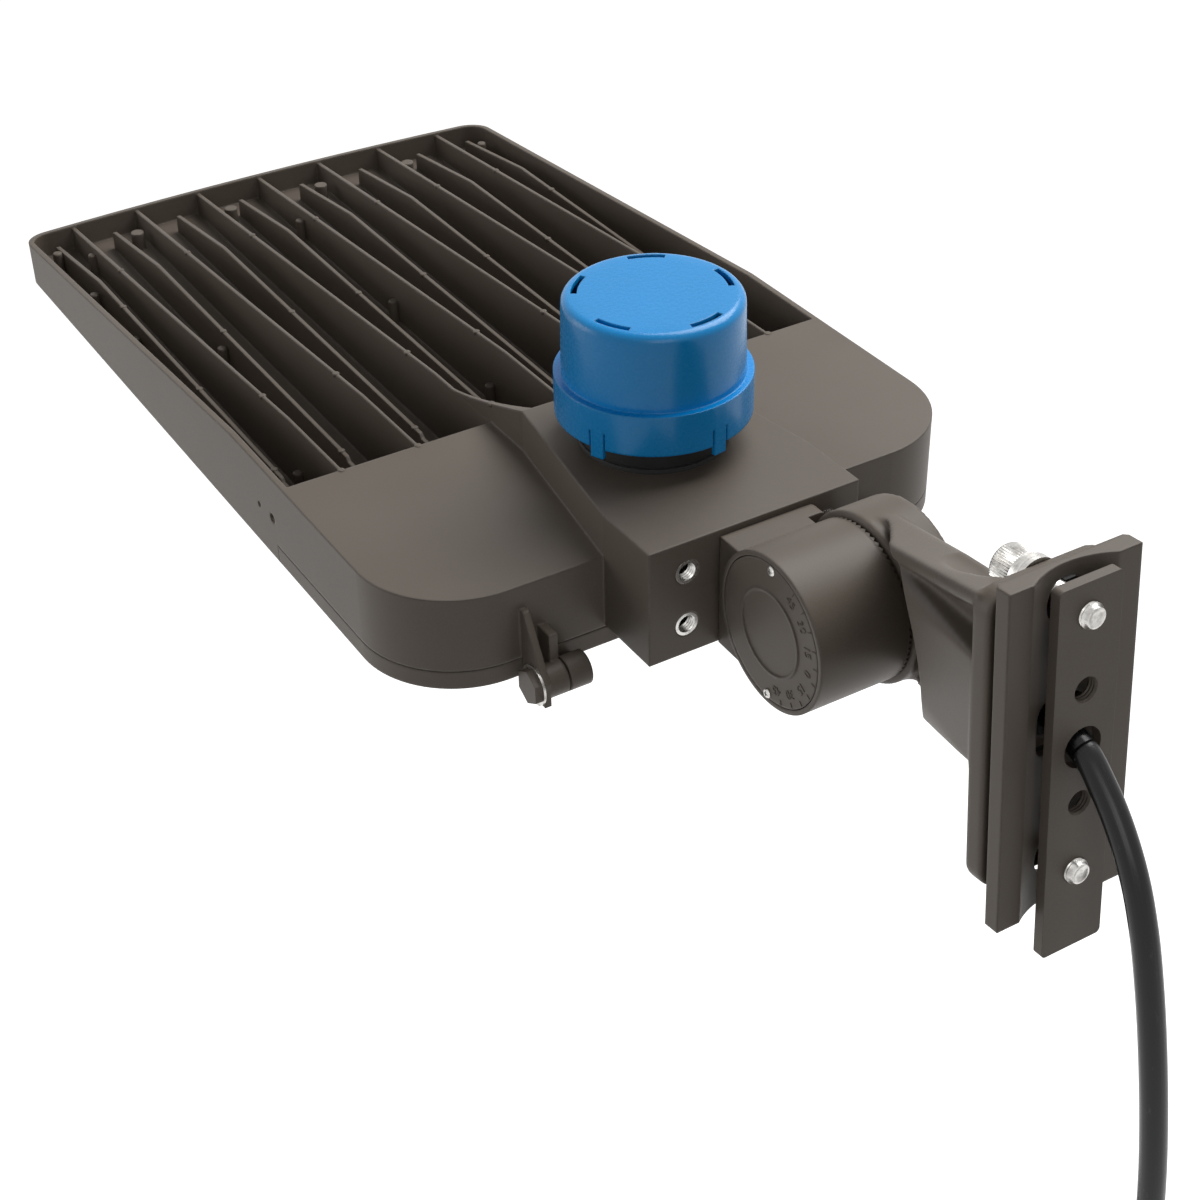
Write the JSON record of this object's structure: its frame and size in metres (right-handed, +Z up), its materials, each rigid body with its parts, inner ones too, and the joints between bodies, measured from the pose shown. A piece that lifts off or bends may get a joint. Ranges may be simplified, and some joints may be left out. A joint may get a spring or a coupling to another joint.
{
  "type": "shoebox area light",
  "caption": "Finned die-cast area light head with a twist-lock photocontrol, on a notched knuckle arm that bolts to a pole, with its supply cord.",
  "frame": {"origin": "on the plane of the adaptor ridges that meet the pole, midway between the two pole bolts", "axes": "+Y into the pole, +Z up, the head reaches towards -Y"},
  "size_m": [0.282, 0.7498, 0.4441],
  "materials": {
    "bronze_casting": "dark bronze powder coat, fine texture, satin",
    "bronze_steel": "dark bronze powder coat, satin",
    "bright_steel": "bright zinc plate",
    "blue_cap": "glossy moulded blue",
    "black_plastic": "moulded black, semi-matt",
    "black_rubber": "moulded black rubber",
    "cord_jacket": "smooth black jacket",
    "board": "white solder mask",
    "led": "yellow phosphor",
    "lens": "clear optical plastic",
    "driver_can": "drawn can, satin",
    "green_board": "green circuit board",
    "potting": "moulded grey-black",
    "ivory": "moulded ivory",
    "green_screw": "green dyed",
    "brass": "tinned brass",
    "grey_plastic": "moulded grey"
  },
  "bodies": {
    "mount": {"arm": "bronze_casting", "joint_seal": "black_rubber", "pivot_spring_washer": "bright_steel", "pivot_nut": "bright_steel", "arm_leads": "cord_jacket", "plate_gasket": "black_rubber", "pole_adaptor": "bronze_casting", "cord_bushing": "black_rubber", "flat_washers": "bright_steel", "spring_washers": "bright_steel", "inner_cord": "cord_jacket", "supply_cord": "cord_jacket", "cord_coil": "cord_jacket", "coil_tie": "grey_plastic", "cord_conductors": "brass"},
    "head": {"head_casting": "bronze_casting", "thread_inserts": "bright_steel", "led_boards": "board", "led_packages": "led", "lens_gaskets": "black_rubber", "lens_panels": "lens", "lens_screws": "bright_steel", "led_driver": "driver_can", "driver_screws": "bright_steel", "surge_protector": "potting", "terminal_block": "ivory", "ground_screw": "green_screw", "door_gasket": "black_rubber", "hinge_pins": "bronze_steel", "hinge_washers": "bright_steel", "receptacle_gasket": "black_rubber", "receptacle": "black_plastic", "receptacle_screws": "bright_steel", "foot_gasket": "black_rubber", "knuckle_base": "bronze_casting", "foot_screws": "bright_steel", "dial_cap": "bronze_casting", "dial_screws": "bright_steel", "pivot_bolt": "bright_steel", "pivot_washer": "bright_steel", "head_leads": "cord_jacket"},
    "door": {"driver_door": "bronze_casting", "door_screws": "bright_steel"},
    "photocontrol": {"photocontrol_base": "black_plastic", "photocontrol_blades": "brass", "photocontrol_board": "green_board", "photocontrol_cap": "blue_cap"},
    "upper_bolt": {"upper_pole_bolt": "bright_steel"},
    "lower_bolt": {"lower_pole_bolt": "bright_steel"},
    "bar": {"backing_bar": "bronze_steel"}
  },
  "joints": [
    {"name": "head_tilt", "type": "hinge", "parent": "mount", "child": "head", "pos_m": [0, -0.145, -0.0235], "axis": [1, 0, 0], "range_deg": [-65, 85]},
    {"name": "door_hinge", "type": "hinge", "parent": "head", "child": "door", "pos_m": [0, -0.21365, -0.05664], "axis": [1, 0, 0], "range_deg": [0, 100]},
    {"name": "photocontrol_twist", "type": "hinge", "parent": "head", "child": "photocontrol", "pos_m": [0, -0.2593, 0.02966], "axis": [0, 0.0872, 0.9962], "range_deg": [0, 20]},
    {"name": "upper_bolt_turn", "type": "hinge", "parent": "mount", "child": "upper_bolt", "pos_m": [0, -0.02, 0.0522], "axis": [0, 1, 0], "range_deg": [-360, 720]},
    {"name": "lower_bolt_turn", "type": "hinge", "parent": "mount", "child": "lower_bolt", "pos_m": [0, -0.02, -0.0522], "axis": [0, 1, 0], "range_deg": [-360, 720]},
    {"name": "bar_travel", "type": "slide", "parent": "mount", "child": "bar", "axis": [0, 1, 0], "range_m": [-0.003, 0.0015]}
  ],
  "couplings": [
    {"joint": "lower_bolt_turn", "follows": "upper_bolt_turn", "ratio": 1},
    {"joint": "bar_travel", "follows": "upper_bolt_turn", "m_per_rad": -0.00023873}
  ]
}
